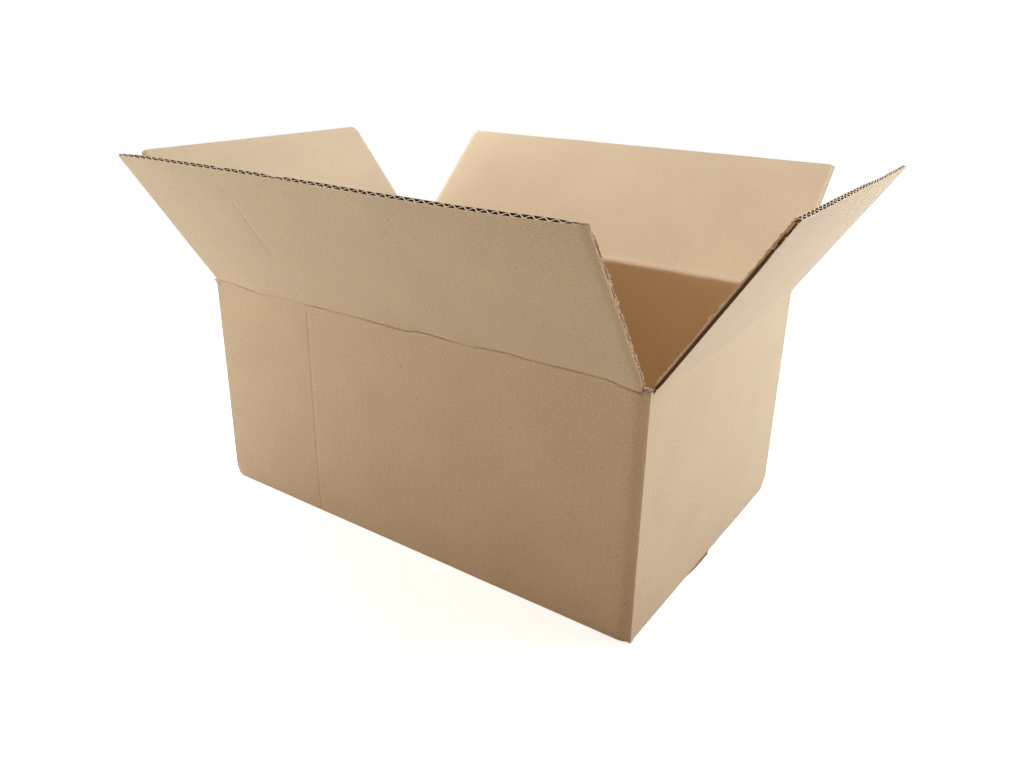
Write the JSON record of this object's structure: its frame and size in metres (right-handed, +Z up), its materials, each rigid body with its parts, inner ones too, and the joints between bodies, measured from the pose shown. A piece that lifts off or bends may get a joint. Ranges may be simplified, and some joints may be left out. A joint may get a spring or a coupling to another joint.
{
  "type": "cardboard box",
  "caption": "Plain kraft corrugated slotted box with a glued bottom, standing open with its top flaps leaning outward on their creases.",
  "frame": {"origin": "middle of the box's underside, on the plane it stands on", "axes": "+X along the length towards the right end, +Y towards the back, +Z up out of the open top"},
  "size_m": [0.4979, 0.3858, 0.2617],
  "materials": {
    "kraft_board": "matte"
  },
  "bodies": {
    "box": {"box_body": "kraft_board"},
    "front_flap": {"front_flap": "kraft_board"},
    "back_flap": {"back_flap": "kraft_board"},
    "left_flap": {"left_flap": "kraft_board"},
    "right_flap": {"right_flap": "kraft_board"}
  },
  "joints": [
    {"name": "front_flap_fold", "type": "hinge", "parent": "box", "child": "front_flap", "pos_m": [0, -0.11815, 0.16245], "axis": [1, 0, 0], "range_deg": [-124, 136]},
    {"name": "back_flap_fold", "type": "hinge", "parent": "box", "child": "back_flap", "pos_m": [0, 0.11815, 0.16245], "axis": [-1, 0, 0], "range_deg": [-135.5, 124.5]},
    {"name": "left_flap_fold", "type": "hinge", "parent": "box", "child": "left_flap", "pos_m": [-0.17815, 0, 0.15915], "axis": [0, -1, 0], "range_deg": [-132.5, 127.5]},
    {"name": "right_flap_fold", "type": "hinge", "parent": "box", "child": "right_flap", "pos_m": [0.17815, 0, 0.15915], "axis": [0, 1, 0], "range_deg": [-122, 138]}
  ]
}
